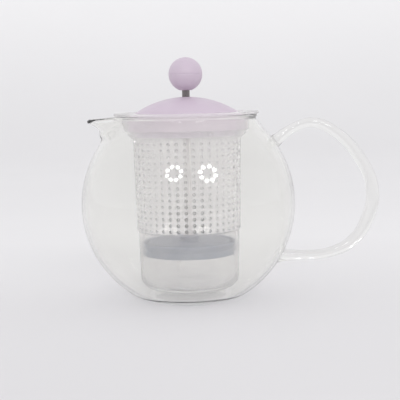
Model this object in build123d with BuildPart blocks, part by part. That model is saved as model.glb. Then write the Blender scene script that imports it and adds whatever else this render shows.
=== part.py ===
from build123d import *

import os
from math import exp, pi, sin, sqrt

# Glass teapot with a lift-out infuser, a lift-off lid and a plunger.
# Millimetres, +Z up. The origin is the centre of the base, on the surface that the pot stands on.
# The spout points along -X and the handle along +X, so the pot is symmetrical about the XZ plane.

# ---------------------------------------------------------------- driving dimensions
# Blown glass globe
globe_radius = 70.0
glass_wall = 2.2
base_radius = 32.0  # the flat that the globe stands on
base_edge_radius = 6.0
base_thickness = 4.0

# Glass neck and rim
neck_radius = 45.0
neck_height = 1.0  # the upright stretch between the shoulder and the rim's bead
shoulder_radius = 49.5  # where the globe runs out into the straight shoulder
shoulder_rise = 5.8
rim_bead = 1.0  # how far the fire-polished rim stands proud of the neck
rim_bead_height = 1.9

# Pulled spout, in plan a wide root and a narrow tip
spout_root_radius = 30.0  # from the pot's axis to the middle of the root
spout_root_width = 30.0
spout_throat_radius = 57.0  # from the pot's axis to the outside of the throat
spout_throat_width = 15.0
spout_lip_radius = 64.9  # from the pot's axis to the tip of the lip
spout_lip_width = 9.0
spout_lip_height = 9.6  # the lip flares out over this height, up to the rim
spout_throat_height = 11.0
spout_tip_drop = 3.0

# Glass handle: its centreline runs this far beyond the globe's side, at shares of the height
# from the lower root to the upper root
handle_root_drop = 9.8  # from the shoulder to the upper root
handle_root_fall = 35.9  # from the globe's centre to the lower root
handle_course = [
    (-2.0, 1.1),
    (11.0, 1.155),
    (26.0, 1.078),
    (42.3, 0.849),
    (51.2, 0.554),
    (48.0, 0.316),
    (38.0, 0.118),
    (22.0, 0.017),
    (4.0, 0.0),
]
handle_root_radius = 5.2
handle_neck_radius = 3.1
handle_grip_radius = 4.3
handle_flare_share = 0.06  # of the rod's length, at each end
handle_steps = 24

# Moulded infuser: a collar, a perforated sleeve and a closed cup
plastic_wall = 1.6
collar_clearance = 2.0  # between the collar and the glass neck
flange_overhang = 2.4
flange_thickness = 1.8
collar_depth = 12.2
shoulder_height = 5.0
sleeve_top_radius = 35.2
sleeve_foot_radius = 34.1
cup_step = 0.8
cup_height = 38.3
cup_draft = 0.5
cup_corner_radius = 7.0
cup_floor = 3.2
cup_bottom_clearance = 3.4  # between the cup and the glass floor

# Lid and its liner
lid_clearance = 0.3
lid_wall = 2.0
lid_rise = 14.1
lid_skirt_height = 7.7
liner_recess = 0.6
liner_thickness = 1.8
liner_rim_inset = 3.0  # from the inside of the lid's skirt
liner_rim_depth = 4.0
liner_clearance = 0.1

# Plunger
rod_radius = 2.5
rod_clearance = 0.08
rod_thread_radius = 2.0
rod_chamfer = 0.4
thread_clearance = 0.05
guide_wall = 2.4
knob_radius = 11.0
knob_gap = 3.6  # stroke left between the knob and the lid
knob_thread_length = 9.0
knob_land = 0.5  # the knob's flat foot, outside its insert
insert_wall = 1.3
insert_spare_depth = 1.0
disc_radius = 27.5
disc_thickness = 8.0
disc_edge_radius = 1.6
disc_hub_wall = 2.4
disc_hub_height = 4.0
leaf_space = 19.1  # between the plunger and the floor of the cup
seal_clearance = 0.3
seal_web = 2.6  # thickness where the seal sits in the disc's groove
seal_root_depth = 1.8
seal_lip = 1.0

# ---------------------------------------------------------------- heights and fits
globe_centre = sqrt(globe_radius**2 - base_radius**2)
inner_radius = globe_radius - glass_wall
shoulder_z = globe_centre + sqrt(globe_radius**2 - shoulder_radius**2)
neck_foot_z = shoulder_z + shoulder_rise
rim_z = neck_foot_z + neck_height + rim_bead_height
neck_bore = neck_radius - glass_wall
throat_top_z = rim_z - spout_lip_height
throat_foot_z = throat_top_z - spout_throat_height

flange_top_z = rim_z + flange_thickness
ledge_z = flange_top_z - collar_depth
shoulder_foot_z = ledge_z - shoulder_height
collar_radius = neck_bore - collar_clearance
collar_bore = collar_radius - plastic_wall
flange_radius = neck_radius + flange_overhang
cup_bottom_z = base_thickness + cup_bottom_clearance
cup_floor_z = cup_bottom_z + cup_floor
cup_step_z = cup_bottom_z + cup_height
cup_mouth_radius = sleeve_foot_radius - cup_step
cup_foot_radius = cup_mouth_radius - cup_draft
cup_bore = cup_foot_radius - plastic_wall

lid_radius = collar_bore - lid_clearance
skirt_foot_z = ledge_z + lid_clearance
dome_foot_z = skirt_foot_z + lid_skirt_height
lid_top_z = dome_foot_z + lid_rise
dome_radius = (lid_radius**2 + lid_rise**2) / (2 * lid_rise)
dome_centre_z = lid_top_z - dome_radius
rod_bore = rod_radius + rod_clearance

disc_bottom_z = cup_floor_z + leaf_space
disc_top_z = disc_bottom_z + disc_thickness
disc_mid_z = disc_bottom_z + disc_thickness / 2
hub_top_z = disc_top_z + disc_hub_height  # the rod's shoulder stands on the hub
thread_bore = rod_thread_radius + thread_clearance
insert_radius = thread_bore + insert_wall
knob_z = lid_top_z + knob_gap + knob_radius
knob_foot_z = knob_z - sqrt(knob_radius**2 - (insert_radius + knob_land) ** 2)

os.makedirs("parts", exist_ok=True)


def write(piece, name):
    """Labels a finished piece and writes it as its own STEP file."""
    piece.part.label = name
    export_step(piece.part, f"parts/{name}.step")


def half_width(height, radius):
    """Radius, at a height, of a ball round the globe's centre."""
    return sqrt(radius**2 - (height - globe_centre) ** 2)


# ---------------------------------------------------------------- glass globe with its spout
def spout_plan(reach, width, inset):
    """Draws the plan of the spout in the open sketch: the root's circle joined to the tip's circle."""
    with Locations((-spout_root_radius, 0)):
        Circle(spout_root_width / 2 - inset)
    with Locations((width / 2 - reach, 0)):
        Circle(width / 2 - inset)
    make_hull()


with BuildPart() as globe_skin:
    with BuildSketch(Plane.XZ) as outer_half:
        with BuildLine():
            foot = Line((0, 0), (base_radius, 0))
            side = ThreePointArc(foot @ 1, (globe_radius, globe_centre), (shoulder_radius, shoulder_z))
            Polyline(
                side @ 1,
                (neck_radius, neck_foot_z),
                (neck_radius, rim_z - rim_bead_height),
                (neck_radius + rim_bead, rim_z - rim_bead_height / 2),
                (neck_radius, rim_z),
                (0, rim_z),
                foot @ 0,
            )
        make_face()
        foot_corner = outer_half.vertices().sort_by_distance((base_radius, 0, 0))[0]
        fillet(foot_corner, base_edge_radius)
        neck_foot = outer_half.vertices().sort_by_distance((neck_radius, neck_foot_z, 0))[0]
        fillet(neck_foot, neck_height)
    revolve(axis=Axis.Z)
    # The throat rises straight out of the globe, and the lip flares from its top
    with BuildSketch(Plane.XY.offset(throat_foot_z)):
        spout_plan(spout_throat_radius, spout_throat_width, 0)
    extrude(amount=spout_throat_height)
    with BuildSketch(Plane.XY.offset(throat_top_z)):
        spout_plan(spout_throat_radius, spout_throat_width, 0)
    with BuildSketch(Plane.XY.offset(rim_z)):
        spout_plan(spout_lip_radius, spout_lip_width, 0)
    loft(ruled=True)

with BuildPart() as globe_room:
    with BuildSketch(Plane.XZ) as inner_half:
        with BuildLine():
            floor = Line((0, base_thickness), (half_width(base_thickness, inner_radius), base_thickness))
            inside = ThreePointArc(
                floor @ 1,
                (inner_radius, globe_centre),
                (half_width(shoulder_z, inner_radius), shoulder_z),
            )
            Polyline(inside @ 1, (neck_bore, neck_foot_z), (neck_bore, rim_z), (0, rim_z), floor @ 0)
        make_face()
        neck_foot = inner_half.vertices().sort_by_distance((neck_bore, neck_foot_z, 0))[0]
        fillet(neck_foot, neck_height)
    revolve(axis=Axis.Z)
    with BuildSketch(Plane.XY.offset(throat_foot_z)):
        spout_plan(spout_throat_radius, spout_throat_width, glass_wall)
    extrude(amount=spout_throat_height)
    with BuildSketch(Plane.XY.offset(throat_top_z)):
        spout_plan(spout_throat_radius, spout_throat_width, glass_wall)
    with BuildSketch(Plane.XY.offset(rim_z)):
        spout_plan(spout_lip_radius, spout_lip_width, glass_wall)
    loft(ruled=True)

lip_run = spout_lip_radius - flange_radius
with BuildPart() as glass_vessel:
    add(globe_skin.part)
    add(globe_room.part, mode=Mode.SUBTRACT)
    # The lip falls away from the flange towards its tip
    with BuildSketch(Plane.XZ):
        Polygon(
            (-flange_radius, rim_z),
            (-flange_radius - 2 * lip_run, rim_z - 2 * spout_tip_drop),
            (-flange_radius - 2 * lip_run, rim_z + spout_tip_drop),
            align=None,
        )
    extrude(amount=spout_root_width, both=True, mode=Mode.SUBTRACT)

# The vessel is one blown piece, kept as two solids that meet where the globe is widest
widest = Plane.XY.offset(globe_centre)
with BuildPart() as glass_bowl:
    add(glass_vessel.part)
    split(bisect_by=widest, keep=Keep.BOTTOM)
write(glass_bowl, "glass_bowl")

with BuildPart() as glass_shoulder:
    add(glass_vessel.part)
    split(bisect_by=widest, keep=Keep.TOP)
write(glass_shoulder, "glass_shoulder")

# ---------------------------------------------------------------- glass handle
def handle_radius(share):
    """Radius of the rod at a share of its length: thick in the grip, and flared at both welds."""
    grip = (handle_grip_radius - handle_neck_radius) * sin(pi * share) ** 2
    flare = exp(-((share / handle_flare_share) ** 2)) + exp(-(((1 - share) / handle_flare_share) ** 2))
    return handle_neck_radius + grip + (handle_root_radius - handle_neck_radius) * flare


root_top_z = shoulder_z - handle_root_drop
root_foot_z = globe_centre - handle_root_fall
root_top_x = half_width(root_top_z, globe_radius)
root_foot_x = half_width(root_foot_z, globe_radius)
handle_height = root_top_z - root_foot_z
sunk = handle_root_radius  # both ends start this far inside the globe, which then trims them

with BuildPart() as glass_handle:
    with BuildLine(Plane.XZ) as handle_line:
        Spline(
            (root_top_x - 0.8 * sunk, root_top_z - 0.6 * sunk),
            *[(globe_radius + out, root_foot_z + up * handle_height) for out, up in handle_course],
            (root_foot_x - sunk, root_foot_z),
            tangents=[(0.8, 0.6), (-1, 0)],
        )
    centreline = handle_line.edge()
    for step in range(handle_steps + 1):
        share = step / handle_steps
        with BuildSketch(Plane(origin=centreline @ share, z_dir=centreline % share)):
            Circle(handle_radius(share))
    loft()
    add(globe_skin.part, mode=Mode.SUBTRACT)
    # A sunk end can be left over inside the globe, so only the rod outside it is kept
    outside = glass_handle.solids().sort_by(SortBy.VOLUME)[-1]
    add(outside, mode=Mode.REPLACE)
write(glass_handle, "glass_handle")

# ---------------------------------------------------------------- infuser
with BuildPart() as infuser_collar:
    with BuildSketch(Plane.XZ) as collar_half:
        Polygon(
            (sleeve_top_radius, shoulder_foot_z),
            (collar_radius, ledge_z),
            (collar_radius, rim_z),
            (flange_radius, rim_z),
            (flange_radius, flange_top_z),
            (collar_bore, flange_top_z),
            (collar_bore, ledge_z),
            (sleeve_top_radius - plastic_wall, shoulder_foot_z),
            align=None,
        )
        brim = collar_half.vertices().group_by(Axis.X)[-1]
        fillet(brim, flange_thickness * 0.4)
    revolve(axis=Axis.Z)
write(infuser_collar, "infuser_collar")

with BuildPart() as infuser_sleeve:
    with BuildSketch(Plane.XZ):
        Polygon(
            (sleeve_foot_radius, cup_step_z),
            (sleeve_top_radius, shoulder_foot_z),
            (sleeve_top_radius - plastic_wall, shoulder_foot_z),
            (sleeve_foot_radius - plastic_wall, cup_step_z),
            align=None,
        )
    revolve(axis=Axis.Z)
write(infuser_sleeve, "infuser_sleeve")

with BuildPart() as infuser_cup:
    with BuildSketch(Plane.XZ) as cup_half:
        Polygon(
            (0, cup_bottom_z),
            (cup_foot_radius, cup_bottom_z),
            (cup_mouth_radius, cup_step_z),
            (cup_mouth_radius - plastic_wall, cup_step_z),
            (cup_bore, cup_floor_z),
            (0, cup_floor_z),
            align=None,
        )
        foot_corner = cup_half.vertices().sort_by_distance((cup_foot_radius, cup_bottom_z, 0))[0]
        fillet(foot_corner, cup_corner_radius)
        floor_corner = cup_half.vertices().sort_by_distance((cup_bore, cup_floor_z, 0))[0]
        fillet(floor_corner, cup_corner_radius - plastic_wall)
    revolve(axis=Axis.Z)
write(infuser_cup, "infuser_cup")

# ---------------------------------------------------------------- lid
ceiling_radius = dome_radius - lid_wall
skirt_bore = lid_radius - lid_wall
ceiling_foot_z = dome_centre_z + sqrt(ceiling_radius**2 - skirt_bore**2)

with BuildPart() as lid_dome:
    with BuildSketch(Plane.XZ):
        with BuildLine():
            crown = ThreePointArc(
                (rod_bore, dome_centre_z + sqrt(dome_radius**2 - rod_bore**2)),
                (lid_radius / 2, dome_centre_z + sqrt(dome_radius**2 - lid_radius**2 / 4)),
                (lid_radius, dome_foot_z),
            )
            ceiling = ThreePointArc(
                (skirt_bore, ceiling_foot_z),
                (skirt_bore / 2, dome_centre_z + sqrt(ceiling_radius**2 - skirt_bore**2 / 4)),
                (rod_bore, dome_centre_z + sqrt(ceiling_radius**2 - rod_bore**2)),
            )
            Polyline(crown @ 1, (lid_radius, skirt_foot_z), (skirt_bore, skirt_foot_z), ceiling @ 0)
            Line(ceiling @ 1, crown @ 0)
        make_face()
    revolve(axis=Axis.Z)
write(lid_dome, "lid_dome")

guide_radius = rod_bore + guide_wall
guide_top_z = dome_centre_z + sqrt(ceiling_radius**2 - guide_radius**2)
plate_radius = skirt_bore - liner_clearance
plate_z = skirt_foot_z + liner_recess
liner_foot_z = plate_z - liner_rim_depth
rim_outer_radius = skirt_bore - liner_rim_inset
rim_inner_radius = rim_outer_radius - plastic_wall

with BuildPart() as lid_liner:
    with BuildSketch(Plane.XZ):
        Polygon(
            (rod_bore, liner_foot_z),
            (guide_radius, liner_foot_z),
            (guide_radius, plate_z),
            (rim_inner_radius, plate_z),
            (rim_inner_radius, liner_foot_z),
            (rim_outer_radius, liner_foot_z),
            (rim_outer_radius, plate_z),
            (plate_radius, plate_z),
            (plate_radius, plate_z + liner_thickness),
            (guide_radius, plate_z + liner_thickness),
            (guide_radius, guide_top_z),
            (rod_bore, guide_top_z),
            align=None,
        )
    revolve(axis=Axis.Z)
write(lid_liner, "lid_liner")

# ---------------------------------------------------------------- plunger rod and knob
thread_top_z = knob_foot_z + knob_thread_length
insert_length = knob_thread_length + insert_spare_depth

with BuildPart() as plunger_rod:
    with BuildSketch(Plane.XY.offset(disc_bottom_z)):
        Circle(rod_thread_radius)
    extrude(amount=thread_top_z - disc_bottom_z)
    with BuildSketch(Plane.XY.offset(hub_top_z)):
        Circle(rod_radius)
    extrude(amount=knob_foot_z - hub_top_z)
    ends = plunger_rod.faces().filter_by(Axis.Z).sort_by(Axis.Z)
    chamfer([ends[0].edge(), ends[-1].edge()], rod_chamfer)
write(plunger_rod, "plunger_rod")

with BuildPart() as knob_insert:
    with BuildSketch(Plane.XY.offset(knob_foot_z)):
        Circle(insert_radius)
        Circle(thread_bore, mode=Mode.SUBTRACT)
    extrude(amount=insert_length)
write(knob_insert, "knob_insert")

with BuildPart() as knob_ball:
    with Locations((0, 0, knob_z)):
        Sphere(knob_radius)
    with BuildSketch(Plane.XY.offset(knob_foot_z)):
        Circle(insert_radius)
    extrude(amount=insert_length, mode=Mode.SUBTRACT)
    split(bisect_by=Plane.XY.offset(knob_foot_z), keep=Keep.TOP)
write(knob_ball, "knob_ball")

# ---------------------------------------------------------------- plunger disc, its seal and its insert
groove_radius = disc_radius - seal_root_depth
groove_foot_z = disc_mid_z - seal_web / 2
groove_top_z = disc_mid_z + seal_web / 2

with BuildPart() as plunger_disc:
    with BuildSketch(Plane.XZ) as disc_half:
        Polygon(
            (insert_radius, disc_bottom_z),
            (disc_radius, disc_bottom_z),
            (disc_radius, groove_foot_z),
            (groove_radius, groove_foot_z),
            (groove_radius, groove_top_z),
            (disc_radius, groove_top_z),
            (disc_radius, disc_top_z),
            (insert_radius + disc_hub_wall, disc_top_z),
            (insert_radius + disc_hub_wall, hub_top_z),
            (insert_radius, hub_top_z),
            align=None,
        )
        rim_corners = disc_half.vertices().group_by(Axis.X)[-1].sort_by(Axis.Y)
        fillet([rim_corners[0], rim_corners[-1]], disc_edge_radius)
    revolve(axis=Axis.Z)
write(plunger_disc, "plunger_disc")

seal_radius = cup_bore - seal_clearance
web_radius = disc_radius + seal_lip
with BuildPart() as plunger_seal:
    with BuildSketch(Plane.XZ):
        Polygon(
            (groove_radius, groove_foot_z),
            (web_radius, groove_foot_z),
            (seal_radius - seal_lip, disc_bottom_z),
            (seal_radius, disc_bottom_z),
            (seal_radius, disc_bottom_z + seal_lip),
            (web_radius + seal_lip, disc_mid_z),
            (seal_radius, disc_top_z - seal_lip),
            (seal_radius, disc_top_z),
            (seal_radius - seal_lip, disc_top_z),
            (web_radius, groove_top_z),
            (groove_radius, groove_top_z),
            align=None,
        )
    revolve(axis=Axis.Z)
write(plunger_seal, "plunger_seal")

with BuildPart() as disc_insert:
    with BuildSketch(Plane.XY.offset(disc_bottom_z)):
        Circle(insert_radius)
        Circle(thread_bore, mode=Mode.SUBTRACT)
    extrude(amount=hub_top_z - disc_bottom_z)
write(disc_insert, "disc_insert")
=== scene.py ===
from math import acos, asin, atan2, cos, degrees, exp, pi, radians, sin, sqrt

import bmesh
import bpy
from mathutils import Matrix, Vector


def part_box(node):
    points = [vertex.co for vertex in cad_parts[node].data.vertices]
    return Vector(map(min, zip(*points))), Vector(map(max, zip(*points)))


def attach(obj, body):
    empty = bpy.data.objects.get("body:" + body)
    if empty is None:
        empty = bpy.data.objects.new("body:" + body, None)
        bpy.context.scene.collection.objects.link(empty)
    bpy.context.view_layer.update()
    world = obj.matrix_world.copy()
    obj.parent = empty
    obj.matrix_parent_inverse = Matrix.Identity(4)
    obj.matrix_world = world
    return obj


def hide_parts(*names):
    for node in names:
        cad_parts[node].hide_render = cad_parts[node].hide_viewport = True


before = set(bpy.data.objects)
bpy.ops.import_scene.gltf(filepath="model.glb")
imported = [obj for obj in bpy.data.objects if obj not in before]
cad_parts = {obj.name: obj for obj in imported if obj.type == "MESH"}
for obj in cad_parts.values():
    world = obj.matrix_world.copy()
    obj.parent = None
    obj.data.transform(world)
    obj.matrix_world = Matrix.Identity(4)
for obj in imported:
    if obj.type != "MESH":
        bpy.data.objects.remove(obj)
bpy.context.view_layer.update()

# A glass teapot with a lift-out infuser, a lift-off lid and a plunger. Metres, +Z up, origin at
# the centre of the base. The spout points along -X and the handle along +X.

MM = 0.001

# ---------------------------------------------------------------- sizes taken from the frame
bowl_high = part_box("glass_bowl")[1]
shoulder_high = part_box("glass_shoulder")[1]
collar_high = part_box("infuser_collar")[1]
sleeve_low, sleeve_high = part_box("infuser_sleeve")
cup_low, cup_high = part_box("infuser_cup")
dome_low, dome_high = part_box("lid_dome")
ball_low, ball_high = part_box("knob_ball")
disc_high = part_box("plunger_disc")[1]
seal_low, seal_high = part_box("plunger_seal")
insert_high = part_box("knob_insert")[1]

globe_radius = bowl_high.y
globe_centre = bowl_high.z
rim_z = shoulder_high.z
flange_radius = collar_high.x
flange_top = collar_high.z
lid_radius = dome_high.x
lid_foot = dome_low.z
knob_radius = ball_high.x
knob_centre = ball_high.z - knob_radius
seal_radius = seal_high.x
insert_radius = insert_high.x

# ---------------------------------------------------------------- sizes of the finished surfaces
glass_wall = 2.2 * MM
base_radius = 32.0 * MM
base_round = 4.0 * MM
punt_radius = 24.0 * MM
punt_height = 1.4 * MM
shoulder_radius = 49.5 * MM
shoulder_rise = 5.8 * MM
shoulder_z = globe_centre + sqrt(globe_radius**2 - shoulder_radius**2)
neck_radius = 45.0 * MM
neck_bend = 0.03  # how softly the shoulder turns into the neck, from 0 for a crease
neck_steps = 30
rim_bead = 1.0 * MM
rim_bead_height = 0.95 * MM
rim_round = 0.9 * MM
rim_lip_height = 1.2 * MM  # the last ring of faces below the rim, which the rounding is cut into
glass_sides = 240

# The spout, measured from the pot's axis to the outside of its throat and of its lip
throat_radius = 57.0 * MM
lip_radius = 64.9 * MM
lip_height = 9.6 * MM
lip_drop = 3.0 * MM
spout_half_angle = radians(14.5)
spout_start = 18.0 * MM  # below the rim
spout_blend = 6.0 * MM  # the height over which it grows out of the globe
lip_flare = 1.3

# The handle's centreline in millimetres beyond the globe's side and above its centre, with the
# rod's radius there
handle_course = [
    (-2.0, 47.2, 3.1),
    (11.0, 51.4, 3.2),
    (26.0, 45.6, 3.5),
    (42.3, 28.3, 4.0),
    (51.2, 6.0, 4.3),
    (48.0, -12.0, 4.3),
    (38.0, -27.0, 3.8),
    (22.0, -34.6, 3.2),
    (4.0, -35.9, 3.1),
]
handle_root_rise = 39.7
handle_root_fall = 35.9
handle_root_radius = 5.4
handle_root_taper = (3.8, 3.9)  # the rod's radius just outside the upper and the lower root
handle_root_reach = 20.0 * MM  # the rod within this distance of a root is trimmed to the globe
weld_depth = 0.5 * MM

# The infuser: a collar, a perforated sleeve and a closed cup
plastic_wall = 1.6 * MM
collar_radius = 40.8 * MM
collar_depth = 12.2 * MM
flange_round = 0.5 * MM
sleeve_foot_radius = 34.1 * MM
cup_draft = 0.5 * MM
cup_floor = 3.2 * MM
cup_corner_radius = 7.0 * MM
cup_corner_centre = 25.6 * MM  # from the axis
cup_mouth_step = 1.1 * MM  # where the wall steps in below the perforated band
hole_columns = 42
hole_rows = 15
hole_pitch = 3.9 * MM
first_hole_z = 48.0 * MM
first_column = radians(-91.9)
recess_radius = 1.3 * MM
recess_depth = 0.7 * MM
hole_radius = 0.62 * MM
hole_sides = 12
hole_edge = 0.1 * MM  # the ring round the hole's inside end
# How the holes' painted shade and painted highlight fade with height and bearing
painted_shading_height = 0.8 * hole_rows * hole_pitch  # above the first row, the holes' painted shade and highlight are weakest
least_painted_shading = 0.28
painted_shading_narrowing = 7  # how fast the holes' painted shade and highlight fade towards the spout and the handle

# The lid, the knob and the plunger
lid_rise = 14.1 * MM
lid_wall = 2.0 * MM
lid_skirt_height = 7.7 * MM
rod_bore = 2.58 * MM
parting_half_angle = 0.7  # degrees, of the knob's parting line
parting_depth = 0.09 * MM
disc_edge_radius = 1.4 * MM
hub_radius = 6.25 * MM
hub_foot_radius = 1.2 * MM
groove_depth = 1.8 * MM
seal_half_web = 1.3 * MM
seal_lip = 1.0 * MM

# The studio
lamps_in_ring = 8
lamp_distance = 1.0
lamp_target = Vector((0, 0, 80 * MM))
camera_place = Vector((7.64, -667, 139.6)) * MM
camera_lens = 91.71  # millimetres, on a sensor 36 mm wide
camera_dip = 6.44  # degrees below level
camera_turn = -1.3

# ---------------------------------------------------------------- mesh helpers


def finish_piece(name, shape, material, body, replaced, sharp=30):
    """Makes an object of a bmesh, shades it smooth except at sharp edges and ties it to its body."""
    mesh = bpy.data.meshes.new(name)
    shape.to_mesh(mesh)
    shape.free()
    mesh.shade_smooth()
    mesh.set_sharp_from_angle(angle=radians(sharp))
    mesh.materials.append(material)
    piece = bpy.data.objects.new(name, mesh)
    bpy.context.scene.collection.objects.link(piece)
    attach(piece, body)
    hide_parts(*replaced)


def arc(centre_z, radius, first, last, steps):
    """Profile points on a circle round the axis, by angles in degrees up from level."""
    angles = [radians(first + (last - first) * step / steps) for step in range(steps + 1)]
    return [(radius * cos(angle), centre_z + radius * sin(angle)) for angle in angles]


def spun(outline, steps, closed=True):
    """Turns an outline of (radius, height) or (radius, height, rounding) points about the Z axis."""
    shape = bmesh.new()
    corners = [shape.verts.new((point[0], 0, point[1])) for point in outline]
    ends = corners[1:] + corners[:1] if closed else corners[1:]
    for start, end in zip(corners, ends):
        if max(start.co.x, end.co.x) > 0.001 * MM:  # an edge on the axis would make no face
            shape.edges.new((start, end))
    for corner, point in zip(corners, outline):
        if len(point) > 2:
            bmesh.ops.bevel(
                shape,
                geom=[corner],
                offset=point[2],
                offset_type="OFFSET",
                segments=4,
                profile=0.5,
                affect="VERTICES",
                material=-1,
            )
    bmesh.ops.spin(
        shape,
        geom=shape.verts[:] + shape.edges[:],
        cent=(0, 0, 0),
        axis=(0, 0, 1),
        angle=2 * pi,
        steps=steps,
        use_merge=True,
    )
    bmesh.ops.remove_doubles(shape, verts=shape.verts[:], dist=0.001 * MM)
    bmesh.ops.recalc_face_normals(shape, faces=shape.faces[:])
    return shape


def smooth(share):
    """Goes smoothly from 0 to 1 as share does, and stays there."""
    t = min(max(share, 0.0), 1.0)
    return t * t * (3 - 2 * t)


# ---------------------------------------------------------------- material helpers


def new_finish(name, **values):
    """A material whose Principled shader has the given socket values, with its tree and shader."""
    material = bpy.data.materials.new(name)
    material.use_nodes = True
    tree = material.node_tree
    shader = tree.nodes["Principled BSDF"]
    for socket, value in values.items():
        shader.inputs[socket.replace("_", " ")].default_value = value
    return material, tree, shader


def noise(tree, scale, detail=3.0, roughness=0.5, stretch=(1, 1, 1)):
    """A noise texture in metres on Object coordinates."""
    place = tree.nodes.new("ShaderNodeTexCoord")
    mapping = tree.nodes.new("ShaderNodeMapping")
    mapping.inputs["Scale"].default_value = stretch
    texture = tree.nodes.new("ShaderNodeTexNoise")
    texture.inputs["Scale"].default_value = scale
    texture.inputs["Detail"].default_value = detail
    texture.inputs["Roughness"].default_value = roughness
    tree.links.new(place.outputs["Object"], mapping.inputs["Vector"])
    tree.links.new(mapping.outputs["Vector"], texture.inputs["Vector"])
    return texture.outputs["Fac"]


def ramp(tree, source, *stops):
    """A colour ramp over a value, with (position, colour) stops."""
    node = tree.nodes.new("ShaderNodeValToRGB")
    elements = node.color_ramp.elements
    while len(elements) < len(stops):
        elements.new(0.5)
    for element, (position, colour) in zip(elements, stops):
        element.position = position
        element.color = (*colour, 1)
    tree.links.new(source, node.inputs["Fac"])
    return node.outputs["Color"]


def object_axis(tree, axis):
    """One of an object's own coordinates, in metres."""
    place = tree.nodes.new("ShaderNodeTexCoord")
    split = tree.nodes.new("ShaderNodeSeparateXYZ")
    tree.links.new(place.outputs["Object"], split.inputs["Vector"])
    return split.outputs[axis]


def stored_value(tree, name):
    """A value stored on the mesh."""
    node = tree.nodes.new("ShaderNodeAttribute")
    node.attribute_name = name
    return node.outputs["Fac"]


def spread(tree, source, low, high, from_low=0.3, from_high=0.7):
    """Maps a value, by default a noise, to a range."""
    node = tree.nodes.new("ShaderNodeMapRange")
    node.inputs["From Min"].default_value = from_low
    node.inputs["From Max"].default_value = from_high
    node.inputs["To Min"].default_value = low
    node.inputs["To Max"].default_value = high
    tree.links.new(source, node.inputs["Value"])
    return node.outputs["Result"]


def mixed(tree, share, first, second):
    """Mixes two colours, each an output or a plain colour, by a share."""
    node = tree.nodes.new("ShaderNodeMix")
    node.data_type = "RGBA"
    tree.links.new(share, node.inputs["Factor"])
    for name, colour in (("A", first), ("B", second)):
        socket = next(s for s in node.inputs if s.name == name and s.type == "RGBA")
        if isinstance(colour, tuple):
            socket.default_value = (*colour, 1)
        else:
            tree.links.new(colour, socket)
    return next(s for s in node.outputs if s.type == "RGBA")


def bump(tree, source, strength, height):
    """A bump from a value, in metres of height."""
    node = tree.nodes.new("ShaderNodeBump")
    node.inputs["Strength"].default_value = strength
    node.inputs["Distance"].default_value = height
    tree.links.new(source, node.inputs["Height"])
    return node.outputs["Normal"]


def math_node(tree, operation, first, second):
    """A maths node on two values, each an output or a number."""
    node = tree.nodes.new("ShaderNodeMath")
    node.operation = operation
    for socket, value in zip(node.inputs, (first, second)):
        if isinstance(value, (int, float)):
            socket.default_value = value
        else:
            tree.links.new(value, socket)
    return node.outputs["Value"]


def let_lamps_through(tree, shader, share):
    """Lets light pass a clear piece towards what is inside it, and out of a wall that traps it."""
    output = tree.nodes["Material Output"]
    path = tree.nodes.new("ShaderNodeLightPath")
    lighting = math_node(tree, "MAXIMUM", path.outputs["Is Shadow Ray"], path.outputs["Is Diffuse Ray"])
    trapped = math_node(tree, "GREATER_THAN", path.outputs["Ray Depth"], 7.0)
    part = math_node(tree, "MAXIMUM", math_node(tree, "MULTIPLY", lighting, share), trapped)
    clear = tree.nodes.new("ShaderNodeBsdfTransparent")
    mix = tree.nodes.new("ShaderNodeMixShader")
    tree.links.new(part, mix.inputs["Fac"])
    tree.links.new(shader.outputs["BSDF"], mix.inputs[1])
    tree.links.new(clear.outputs["BSDF"], mix.inputs[2])
    tree.links.new(mix.outputs["Shader"], output.inputs["Surface"])


# ---------------------------------------------------------------- finishes


def blown_glass():
    """Clear blown glass with the faint waviness of hand work."""
    material, tree, shader = new_finish(
        "blown_glass",
        Base_Color=(0.966, 0.966, 0.948, 1),
        IOR=1.47,
        Transmission_Weight=1.0,
    )
    film = noise(tree, 90, detail=4)
    tree.links.new(spread(tree, film, 0.0, 0.02, 0.45, 0.75), shader.inputs["Roughness"])
    waves = noise(tree, 22, detail=1)
    tree.links.new(bump(tree, waves, 0.25, 0.3 * MM), shader.inputs["Normal"])
    let_lamps_through(tree, shader, 0.96)
    return material


def hazed_plastic():
    """Clear moulded plastic, hazed by washing and by tea, with holes darkened by painted shade and a
    pale painted highlight in each coned recess.
    """
    black, white = (0, 0, 0), (1, 1, 1)
    material, tree, shader = new_finish("hazed_plastic", IOR=1.22, Specular_IOR_Level=0.8)
    haze = noise(tree, 60, detail=5)
    plain = ramp(tree, haze, (0.3, (0.975, 0.966, 0.960)), (0.7, (0.955, 0.945, 0.938)))
    mark = stored_value(tree, "recess")
    strength = stored_value(tree, "strength")
    # Painted highlight: a pale ring on each recess's slope near its rim, scaled by the stored strength.
    ring = ramp(tree, mark, (0.0, black), (0.12, white), (0.3, black))
    pale = math_node(tree, "MULTIPLY", ring, strength)
    # Painted shade: near black from the middle of each recess's slope down through the hole, scaled by
    # the stored strength.
    painted_shade_core = ramp(tree, mark, (0.25, black), (0.6, white))
    painted_shade = math_node(tree, "MULTIPLY", painted_shade_core, strength)
    with_painted_highlight = mixed(tree, pale, plain, (0.97, 0.97, 0.96))
    tree.links.new(mixed(tree, painted_shade, with_painted_highlight, (0.012, 0.012, 0.015)), shader.inputs["Base Color"])
    clear = spread(tree, haze, 0.84, 0.74)
    # Where the painted shade and highlight are, the plastic lets less light through so their colour
    # shows.
    painted_mark_share = math_node(tree, "MULTIPLY", mark, strength)
    recessed = spread(tree, painted_mark_share, 1.0, 0.5, 0.0, 0.5)
    tree.links.new(math_node(tree, "MULTIPLY", clear, recessed), shader.inputs["Transmission Weight"])
    tree.links.new(spread(tree, haze, 0.12, 0.20), shader.inputs["Roughness"])
    tree.links.new(bump(tree, noise(tree, 400, detail=3), 0.1, 0.05 * MM), shader.inputs["Normal"])
    let_lamps_through(tree, shader, 0.84)
    return material


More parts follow.
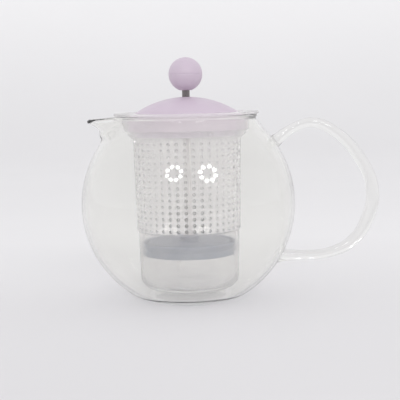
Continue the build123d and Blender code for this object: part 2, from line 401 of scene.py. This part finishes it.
def lilac_plastic():
    """Satin lilac moulded plastic with a slight mottle."""
    material, tree, shader = new_finish(
        "lilac_plastic",
        Roughness=0.36,
        IOR=1.5,
        Subsurface_Weight=0.08,
        Subsurface_Radius=(0.004, 0.003, 0.004),
        Subsurface_Scale=1.0,
    )
    mottle = noise(tree, 35, detail=6)
    tint = ramp(tree, mottle, (0.3, (0.625, 0.525, 0.62)), (0.7, (0.66, 0.56, 0.655)))
    tree.links.new(tint, shader.inputs["Base Color"])
    tree.links.new(spread(tree, noise(tree, 120, detail=5), 0.32, 0.44), shader.inputs["Roughness"])
    tree.links.new(bump(tree, noise(tree, 900, detail=4), 0.12, 0.04 * MM), shader.inputs["Normal"])
    return material


def liner_plastic():
    """Pale lilac-white plastic of the lid's liner."""
    material, tree, shader = new_finish("liner_plastic", IOR=1.5)
    mottle = noise(tree, 50, detail=5)
    tint = ramp(tree, mottle, (0.3, (0.86, 0.79, 0.87)), (0.7, (0.90, 0.84, 0.91)))
    tree.links.new(tint, shader.inputs["Base Color"])
    tree.links.new(spread(tree, mottle, 0.45, 0.6), shader.inputs["Roughness"])
    return material


def drawn_steel():
    """Stainless rod with lines along its length, bright in the pot and darker above the lid."""
    material, tree, shader = new_finish("drawn_steel", Metallic=1.0)
    lines = noise(tree, 500, detail=3, stretch=(4, 4, 0.05))
    stain = noise(tree, 60, detail=4)
    dark_tone = ramp(tree, stain, (0.35, (0.26, 0.24, 0.24)), (0.75, (0.19, 0.17, 0.17)))
    bright = ramp(tree, stain, (0.35, (0.90, 0.88, 0.87)), (0.75, (0.78, 0.76, 0.75)))
    # Darker above the lid, blending over 10 mm either side of its foot.
    above_lid = spread(tree, object_axis(tree, "Z"), 0.0, 1.0, lid_foot - 10 * MM, lid_foot + 10 * MM)
    tree.links.new(mixed(tree, above_lid, bright, dark_tone), shader.inputs["Base Color"])
    tree.links.new(spread(tree, lines, 0.16, 0.34), shader.inputs["Roughness"])
    tree.links.new(bump(tree, lines, 0.3, 0.02 * MM), shader.inputs["Normal"])
    return material


def turned_brass():
    """Brass inserts with turning rings."""
    material, tree, shader = new_finish("turned_brass", Metallic=1.0)
    rings = noise(tree, 700, detail=2, stretch=(0.1, 0.1, 6))
    tint = ramp(tree, rings, (0.3, (0.62, 0.47, 0.24)), (0.7, (0.74, 0.58, 0.31)))
    tree.links.new(tint, shader.inputs["Base Color"])
    tree.links.new(spread(tree, rings, 0.25, 0.4), shader.inputs["Roughness"])
    tree.links.new(bump(tree, rings, 0.4, 0.02 * MM), shader.inputs["Normal"])
    return material


def plunger_plastic():
    """Blue-grey moulded plastic of the plunger."""
    material, tree, shader = new_finish("plunger_plastic", IOR=1.5)
    mottle = noise(tree, 45, detail=6)
    tint = ramp(tree, mottle, (0.3, (0.085, 0.105, 0.16)), (0.7, (0.11, 0.13, 0.19)))
    tree.links.new(tint, shader.inputs["Base Color"])
    tree.links.new(spread(tree, mottle, 0.4, 0.55), shader.inputs["Roughness"])
    tree.links.new(bump(tree, noise(tree, 700, detail=4), 0.15, 0.04 * MM), shader.inputs["Normal"])
    return material


def seal_silicone():
    """Pale blue-grey silicone of the seal, a little see-through."""
    material, tree, shader = new_finish(
        "seal_silicone",
        IOR=1.41,
        Transmission_Weight=0.1,
        Subsurface_Weight=0.2,
        Subsurface_Radius=(0.002, 0.002, 0.003),
        Subsurface_Scale=1.0,
    )
    mottle = noise(tree, 80, detail=5)
    tint = ramp(tree, mottle, (0.3, (0.17, 0.20, 0.27)), (0.7, (0.21, 0.24, 0.31)))
    tree.links.new(tint, shader.inputs["Base Color"])
    tree.links.new(spread(tree, mottle, 0.4, 0.55), shader.inputs["Roughness"])
    return material


# ---------------------------------------------------------------- glass


def reach_of_spout(z):
    """How far the middle of the spout stands out of the globe or neck at a height."""
    if z < shoulder_z:
        plain = sqrt(max(globe_radius**2 - (z - globe_centre) ** 2, 0))
    else:
        plain = neck_outline(z)
    flare_z = rim_z - lip_height
    flare = max(z - flare_z, 0) / lip_height
    spout = throat_radius + (lip_radius - throat_radius) * flare**lip_flare
    return max(spout - plain, 0) * smooth((z - (rim_z - spout_start)) / spout_blend)


def neck_outline(z):
    """Outer radius of the shoulder and the neck, without the rim's bead."""
    left = 1 - (z - shoulder_z) / shoulder_rise
    slope = (left + sqrt(left**2 + neck_bend)) / 2
    return neck_radius + (shoulder_radius - neck_radius) * slope


def bead_swell(z):
    """How far the fire-polished rim stands proud of the neck at a height."""
    return rim_bead * exp(-(((rim_z - rim_bead_height - z) / rim_bead_height) ** 2))


def pull_spout(shape):
    """Draws the glass near -X out into the spout, and lets its lip fall."""
    for vert in shape.verts:
        off_spout = abs(atan2(vert.co.y, -vert.co.x))
        pull = exp(-((off_spout / spout_half_angle) ** 2))
        height = vert.co.z
        plain = Vector((vert.co.x, vert.co.y, 0))
        if height < rim_z - spout_start or pull < 0.001:
            continue
        vert.co += plain.normalized() * reach_of_spout(height) * pull
        rise = smooth((height - (rim_z - lip_height)) / lip_height)
        vert.co.z -= lip_drop * rise * pull


def glass_globe():
    """The globe, its neck and its spout as a wall of even thickness, with the rim's bead."""
    base_angle = -57.2
    shoulder_angle = 45.0
    outline = [(punt_radius * step / 6, punt_height * (1 - (step / 6) ** 2)) for step in range(7)]
    outline.append((base_radius - base_round, 0))
    outline += arc(globe_centre, globe_radius, base_angle, shoulder_angle, 72)
    lip_z = rim_z - rim_lip_height
    for step in range(1, neck_steps + 1):
        height = shoulder_z + (lip_z - shoulder_z) * step / neck_steps
        outline.append((neck_outline(height), height))
    outline.append((neck_outline(rim_z), rim_z))
    shell = spun(outline, glass_sides, closed=False)
    swell = {vert: bead_swell(vert.co.z) for vert in shell.verts}
    pull_spout(shell)
    bmesh.ops.recalc_face_normals(shell, faces=shell.faces[:])
    bmesh.ops.solidify(shell, geom=shell.faces[:], thickness=-glass_wall)
    for vert, height in swell.items():
        vert.co += Vector((vert.co.x, vert.co.y, 0)).normalized() * height
    bmesh.ops.recalc_face_normals(shell, faces=shell.faces[:])
    return shell


def make_globe(glass):
    shell = glass_globe()
    lip = [edge for edge in shell.edges if edge.is_manifold and edge.calc_face_angle() > radians(60)]
    bmesh.ops.bevel(
        shell,
        geom=lip,
        offset=rim_round,
        offset_type="OFFSET",
        segments=6,
        profile=0.5,
        affect="EDGES",
        material=-1,
    )
    finish_piece("pot_globe", shell, glass, "pot", ["glass_bowl", "glass_shoulder"])


def make_handle(glass):
    side = globe_radius / MM
    centre = globe_centre / MM
    root_top = Vector((sqrt(side**2 - handle_root_rise**2), handle_root_rise))
    root_foot = Vector((sqrt(side**2 - handle_root_fall**2), -handle_root_fall))
    top_taper, foot_taper = handle_root_taper
    # each stop is a place beyond the globe's centre, in millimetres, and the rod's radius there
    course = [
        (root_top - Vector((4.0, 3.0)), handle_root_radius),
        (root_top + Vector((2.4, 1.9)), top_taper),
    ]
    course += [(Vector((side + out, up)), width) for out, up, width in handle_course]
    course += [
        (root_foot + Vector((3.0, 0)), foot_taper),
        (root_foot - Vector((5.0, 0)), handle_root_radius),
    ]
    curve = bpy.data.curves.new("handle_course", "CURVE")
    curve.dimensions = "3D"
    curve.bevel_depth = MM
    curve.bevel_resolution = 10
    curve.resolution_u = 14
    curve.use_fill_caps = True
    spline = curve.splines.new("BEZIER")
    spline.bezier_points.add(len(course) - 1)
    for point, (place, width) in zip(spline.bezier_points, course):
        point.co = (place.x * MM, 0, (centre + place.y) * MM)
        point.handle_left_type = "AUTO"
        point.handle_right_type = "AUTO"
        point.radius = width
    holder = bpy.data.objects.new("handle_course", curve)
    mesh = bpy.data.meshes.new_from_object(holder)
    rod = bmesh.new()
    rod.from_mesh(mesh)
    bpy.data.objects.remove(holder)
    bpy.data.meshes.remove(mesh)
    bmesh.ops.remove_doubles(rod, verts=rod.verts[:], dist=0.01 * MM)
    for root in (root_top, root_foot):
        outward = Vector((root.x, 0, root.y)).normalized()
        seat = Vector((0, 0, globe_centre)) + outward * (globe_radius - weld_depth)
        near = [vert for vert in rod.verts if (vert.co - seat).length < handle_root_reach]
        edges = {edge for vert in near for edge in vert.link_edges}
        faces = {face for vert in near for face in vert.link_faces}
        cut = bmesh.ops.bisect_plane(
            rod,
            geom=near + list(edges) + list(faces),
            dist=0.001 * MM,
            plane_co=seat,
            plane_no=outward,
            clear_inner=True,
        )
        rim = [item for item in cut["geom_cut"] if isinstance(item, bmesh.types.BMEdge)]
        bmesh.ops.contextual_create(rod, geom=rim)
    bmesh.ops.recalc_face_normals(rod, faces=rod.faces[:])
    finish_piece("pot_handle", rod, glass, "pot", ["glass_handle"])


# ---------------------------------------------------------------- infuser


def sleeve_radius(z):
    """Outer radius of the sleeve at a height."""
    share = (z - sleeve_low.z) / (sleeve_high.z - sleeve_low.z)
    return sleeve_foot_radius + (sleeve_high.x - sleeve_foot_radius) * share


def painted_hole_shading(angle, height):
    """How strongly a hole shows its painted shade and painted highlight: most at the front and back,
    and low down.
    """
    low = 1 - (1 - least_painted_shading) * smooth((height - first_hole_z) / painted_shading_height)
    return abs(sin(angle)) ** painted_shading_narrowing * low


def perforated_band():
    """The wall with its rows of coned holes, wrapped round the axis."""
    mid_radius = sleeve_radius(first_hole_z + hole_rows * hole_pitch / 2)
    column_pitch = 2 * pi * mid_radius / hole_columns
    edge_parts = hole_sides // 4
    band = bmesh.new()
    band.verts.layers.float.new("recess")
    strength = band.verts.layers.float.new("strength")
    recess = band.verts.layers.float["recess"]
    bmesh.ops.create_circle(band, cap_ends=True, segments=hole_sides, radius=1.0)
    cap = band.faces[:][0]
    # outside edge of the cell, rim of the recess, its slope, the hole's mouth and end, inside edges
    for radius, depth, mark in (
        (None, 0.0, 0.0),
        (recess_radius, 0.0, 0.0),
        ((recess_radius + hole_radius) / 2, recess_depth / 2, 0.5),
        (hole_radius, recess_depth, 0.9),
        (hole_radius, plastic_wall, 1.0),
        (hole_radius + hole_edge, plastic_wall, 0.0),
        (None, plastic_wall, 0.0),
    ):
        if depth or radius:
            cap = bmesh.ops.extrude_discrete_faces(band, faces=[cap])["faces"][0]
        for step, vert in enumerate(cap.verts):
            angle = pi / 4 + 2 * pi * step / hole_sides
            across, up = cos(angle), sin(angle)
            if radius is None:
                widest = max(abs(across), abs(up))
                across = round(across / widest * edge_parts) / edge_parts * column_pitch / 2
                up = round(up / widest * edge_parts) / edge_parts * hole_pitch / 2
            else:
                across *= radius
                up *= radius
            vert.co = (across, depth, up)
            vert[recess] = mark
    bmesh.ops.delete(band, geom=[cap], context="FACES_ONLY")
    bmesh.ops.translate(band, verts=band.verts[:], vec=(0, 0, first_hole_z))
    one = band.verts[:] + band.edges[:] + band.faces[:]
    for row in range(1, hole_rows):
        copy = bmesh.ops.duplicate(band, geom=one)
        moved = [item for item in copy["geom"] if isinstance(item, bmesh.types.BMVert)]
        bmesh.ops.translate(band, verts=moved, vec=(0, 0, row * hole_pitch))
    bmesh.ops.remove_doubles(band, verts=band.verts[:], dist=0.001 * MM)
    one = band.verts[:] + band.edges[:] + band.faces[:]
    for column in range(1, hole_columns):
        copy = bmesh.ops.duplicate(band, geom=one)
        moved = [item for item in copy["geom"] if isinstance(item, bmesh.types.BMVert)]
        bmesh.ops.translate(band, verts=moved, vec=(column * column_pitch, 0, 0))
    for vert in band.verts:
        along, depth, height = vert.co
        angle = first_column + along / mid_radius
        radius = sleeve_radius(height) - depth
        vert.co = (radius * cos(angle), radius * sin(angle), height)
        # how strongly each hole shows its painted shade and painted highlight
        vert[strength] = painted_hole_shading(angle, height)
    return band


def cup_corner(radius, centre_z, angles):
    """Profile points of a rounded corner of the cup, by angles in radians down from level."""
    return [(cup_corner_centre + radius * cos(t), centre_z - radius * sin(t)) for t in angles]


def make_infuser(plastic):
    band = perforated_band()
    band_foot = first_hole_z - hole_pitch / 2
    band_top = band_foot + hole_rows * hole_pitch
    ledge = flange_top - collar_depth
    bore = collar_radius - plastic_wall
    upper = [
        (sleeve_radius(band_top), band_top),
        (sleeve_high.x, sleeve_high.z),
        (collar_radius, ledge),
        (collar_radius, rim_z),
        (flange_radius - flange_round, rim_z),
        (flange_radius, rim_z + flange_round),
        (flange_radius, flange_top - flange_round),
        (flange_radius - flange_round, flange_top),
        (bore + flange_round, flange_top),
        (bore, flange_top - flange_round),
        (bore, ledge),
        (sleeve_high.x - plastic_wall, sleeve_high.z),
        (sleeve_radius(band_top) - plastic_wall, band_top),
    ]
    inner_corner_radius = cup_corner_radius - plastic_wall
    cup_bore = cup_high.x - cup_draft - plastic_wall
    floor_z = cup_low.z + cup_floor
    lower = [
        (sleeve_radius(band_foot) - plastic_wall, band_foot),
        (cup_high.x - plastic_wall, band_foot - cup_mouth_step),
        (cup_bore + 0.1 * MM, cup_low.z + 10 * MM),
    ]
    downward = (0.3, 0.6, 0.9, 1.2, 1.5)
    lower += cup_corner(inner_corner_radius, floor_z + inner_corner_radius, downward)
    lower += [(0, floor_z), (0, cup_low.z)]
    upward = (1.57, 1.25, 0.95, 0.65, 0.35, 0.05)
    lower += cup_corner(cup_corner_radius, cup_low.z + cup_corner_radius, upward)
    lower += [
        (cup_high.x, cup_high.z - 0.4 * MM),
        (sleeve_radius(band_foot) - 0.1 * MM, cup_high.z),
        (sleeve_radius(band_foot), band_foot),
    ]
    for outline in (upper, lower):
        plain = spun(outline, hole_columns * 3, closed=False)
        bmesh.ops.rotate(
            plain,
            verts=plain.verts[:],
            cent=(0, 0, 0),
            matrix=Matrix.Rotation(first_column - pi / hole_columns, 3, "Z"),
        )
        mesh = bpy.data.meshes.new("plain_wall")
        plain.to_mesh(mesh)
        plain.free()
        band.from_mesh(mesh)
        bpy.data.meshes.remove(mesh)
    bmesh.ops.remove_doubles(band, verts=band.verts[:], dist=0.01 * MM)
    bmesh.ops.recalc_face_normals(band, faces=band.faces[:])
    moulding = ["infuser_collar", "infuser_sleeve", "infuser_cup"]
    finish_piece("infuser", band, plastic, "infuser", moulding)


# ---------------------------------------------------------------- lid, knob and plunger


def make_lid(plastic):
    dome_radius = (lid_radius**2 + lid_rise**2) / (2 * lid_rise)
    centre = lid_foot + lid_skirt_height + lid_rise - dome_radius
    skirt_bore = lid_radius - lid_wall
    inner = dome_radius - lid_wall
    outer_angle = degrees(acos(lid_radius / dome_radius))
    inner_angle = degrees(acos(skirt_bore / inner))
    outline = arc(centre, dome_radius, degrees(acos(rod_bore / dome_radius)), outer_angle, 36)
    outline += [(lid_radius, lid_foot, 0.5 * MM), (skirt_bore, lid_foot, 0.4 * MM)]
    outline += arc(centre, inner, inner_angle, degrees(acos(rod_bore / inner)), 30)
    shape = spun(outline, 160)
    finish_piece("lid", shape, plastic, "lid", ["lid_dome"], sharp=50)


def make_knob(plastic):
    foot = ball_low.z
    foot_angle = degrees(asin((foot - knob_centre) / knob_radius))
    outline = arc(knob_centre, knob_radius, foot_angle, -parting_half_angle, 24)
    outline.append((knob_radius - parting_depth, knob_centre))
    outline += arc(knob_centre, knob_radius, parting_half_angle, 90, 24)
    outline += [(0, insert_high.z), (insert_radius, insert_high.z), (insert_radius, foot)]
    shape = spun(outline, 96)
    finish_piece("knob", shape, plastic, "plunger", ["knob_ball"], sharp=40)


def make_plunger(plastic, silicone):
    bottom, top = seal_low.z, seal_high.z
    middle = (bottom + top) / 2
    disc_radius = disc_high.x
    groove = disc_radius - groove_depth
    plate = [
        (insert_radius, bottom),
        (disc_radius, bottom, disc_edge_radius),
        (disc_radius, middle - seal_half_web),
        (groove, middle - seal_half_web),
        (groove, middle + seal_half_web),
        (disc_radius, middle + seal_half_web),
        (disc_radius, top, disc_edge_radius),
        (hub_radius + hub_foot_radius, top),
        (hub_radius, top + hub_foot_radius),
        (hub_radius, disc_high.z, 0.5 * MM),
        (insert_radius, disc_high.z),
    ]
    shape = spun(plate, 128)
    finish_piece("plunger_plate", shape, plastic, "press_disc", ["plunger_disc"])
    root = disc_radius + seal_lip
    lips = [
        (groove, middle - seal_half_web),
        (root, middle - seal_half_web),
        (seal_radius - seal_lip, bottom, 0.3 * MM),
        (seal_radius, bottom, 0.3 * MM),
        (seal_radius, bottom + seal_lip, 0.3 * MM),
        (root + seal_lip, middle, 0.5 * MM),
        (seal_radius, top - seal_lip, 0.3 * MM),
        (seal_radius, top, 0.3 * MM),
        (seal_radius - seal_lip, top, 0.3 * MM),
        (root, middle + seal_half_web),
        (groove, middle + seal_half_web),
    ]
    shape = spun(lips, 128)
    finish_piece("plunger_lips", shape, silicone, "press_disc", ["plunger_seal"])


# ---------------------------------------------------------------- studio


def studio_surface():
    """A pale floor that curves up into a pale backdrop, glowing with painted light that grows towards
    the back and higher up.
    """
    shape = bmesh.new()
    half, front, back, bend, top = 2.5, -2.0, 1.1, 0.8, 2.6
    points = [(front, 0.0), (back, 0.0)]
    points += [(back + bend * sin(t * pi / 24), bend * (1 - cos(t * pi / 24))) for t in range(1, 13)]
    points.append((back + bend, top))
    line = [shape.verts.new((-half, y, z)) for y, z in points]
    edges = [shape.edges.new((a, b)) for a, b in zip(line, line[1:])]
    wide = bmesh.ops.extrude_edge_only(shape, edges=edges)
    moved = [item for item in wide["geom"] if isinstance(item, bmesh.types.BMVert)]
    bmesh.ops.translate(shape, verts=moved, vec=(2 * half, 0, 0))
    bmesh.ops.recalc_face_normals(shape, faces=shape.faces[:])
    mesh = bpy.data.meshes.new("studio_sweep")
    shape.to_mesh(mesh)
    shape.free()
    mesh.shade_smooth()
    painted_glow = (0.99, 1.0, 1.0, 1)
    material, tree, shader = new_finish("studio_paper", Roughness=0.9, Emission_Color=painted_glow)
    mottle = noise(tree, 3, detail=2)
    tint = ramp(tree, mottle, (0.3, (0.685, 0.672, 0.682)), (0.7, (0.70, 0.687, 0.697)))
    tree.links.new(tint, shader.inputs["Base Color"])
    # Painted light: the sweep glows faintly in front and more towards the back and higher up, which
    # also lifts the shade under the pot.
    far = spread(tree, object_axis(tree, "Y"), 0.03, 0.19, -0.22, 0.25)
    high = spread(tree, object_axis(tree, "Z"), 0.0, 0.16, 0.02, 0.35)
    tree.links.new(math_node(tree, "ADD", far, high), shader.inputs["Emission Strength"])
    mesh.materials.append(material)
    sweep = bpy.data.objects.new("studio_sweep", mesh)
    bpy.context.scene.collection.objects.link(sweep)


def lamp_cluster(name, azimuth, elevation, spacing, size, watts):
    """A ring of small round lamps facing the pot, by its bearing from the front in degrees."""
    side, up = radians(azimuth), radians(elevation)
    away = Vector((sin(side) * cos(up), -cos(side) * cos(up), sin(up)))
    turn = away.to_track_quat("Z", "Y")
    for place in range(lamps_in_ring):
        lamp = bpy.data.lights.new(name, "AREA")
        lamp.shape = "DISK"
        lamp.size = size
        lamp.energy = watts / lamps_in_ring
        bearing = 2 * pi * (place + 0.5) / lamps_in_ring
        holder = bpy.data.objects.new(name, lamp)
        offset = turn @ Vector((spacing * cos(bearing), spacing * sin(bearing), 0))
        holder.location = lamp_target + away * lamp_distance + offset
        holder.rotation_euler = turn.to_euler()
        bpy.context.scene.collection.objects.link(holder)


def studio_sky():
    """Pale light from all round, a little dimmer from the front."""
    world = bpy.data.worlds.new("studio_sky")
    world.use_nodes = True
    bpy.context.scene.world = world
    tree = world.node_tree
    place = tree.nodes.new("ShaderNodeTexCoord")
    split = tree.nodes.new("ShaderNodeSeparateXYZ")
    tree.links.new(place.outputs["Generated"], split.inputs["Vector"])
    front = spread(tree, split.outputs["Y"], 0.70, 1.0, -0.9, 0.1)
    tint = ramp(tree, front, (0.0, (0.0, 0.0, 0.0)), (1.0, (0.92, 0.925, 0.94)))
    background = tree.nodes["Background"]
    tree.links.new(tint, background.inputs["Color"])
    background.inputs["Strength"].default_value = 1.0


def place_camera():
    camera = bpy.data.cameras.new("front_camera")
    camera.sensor_width = 36.0
    camera.lens = camera_lens
    camera.dof.use_dof = False
    holder = bpy.data.objects.new("front_camera", camera)
    holder.location = camera_place
    tilt = Matrix.Rotation(radians(90 - camera_dip), 3, "X")
    look = tilt @ Matrix.Rotation(radians(camera_turn), 3, "Z")
    holder.rotation_euler = look.to_euler()
    bpy.context.scene.collection.objects.link(holder)
    bpy.context.scene.camera = holder


# ---------------------------------------------------------------- the whole scene
glass = blown_glass()
plastic = hazed_plastic()
lilac = lilac_plastic()
brass = turned_brass()

make_globe(glass)
make_handle(glass)
make_infuser(plastic)
make_lid(lilac)
make_knob(lilac)
make_plunger(plunger_plastic(), seal_silicone())

carried_over = {
    "lid_liner": liner_plastic(),
    "plunger_rod": drawn_steel(),
    "knob_insert": brass,
    "disc_insert": brass,
}
for node, finish in carried_over.items():
    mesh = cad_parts[node].data
    mesh.materials.clear()
    mesh.materials.append(finish)

studio_surface()
studio_sky()
lamp_cluster("left_lamp", -16, 36, 0.125, 0.07, 1.0)
lamp_cluster("right_lamp", 25, 34.5, 0.135, 0.08, 1.5)
place_camera()
bpy.context.scene.view_settings.view_transform = "Standard"
bpy.context.scene.cycles.transmission_bounces = 28
bpy.context.scene.cycles.max_bounces = 32
bpy.context.scene.cycles.transparent_max_bounces = 48
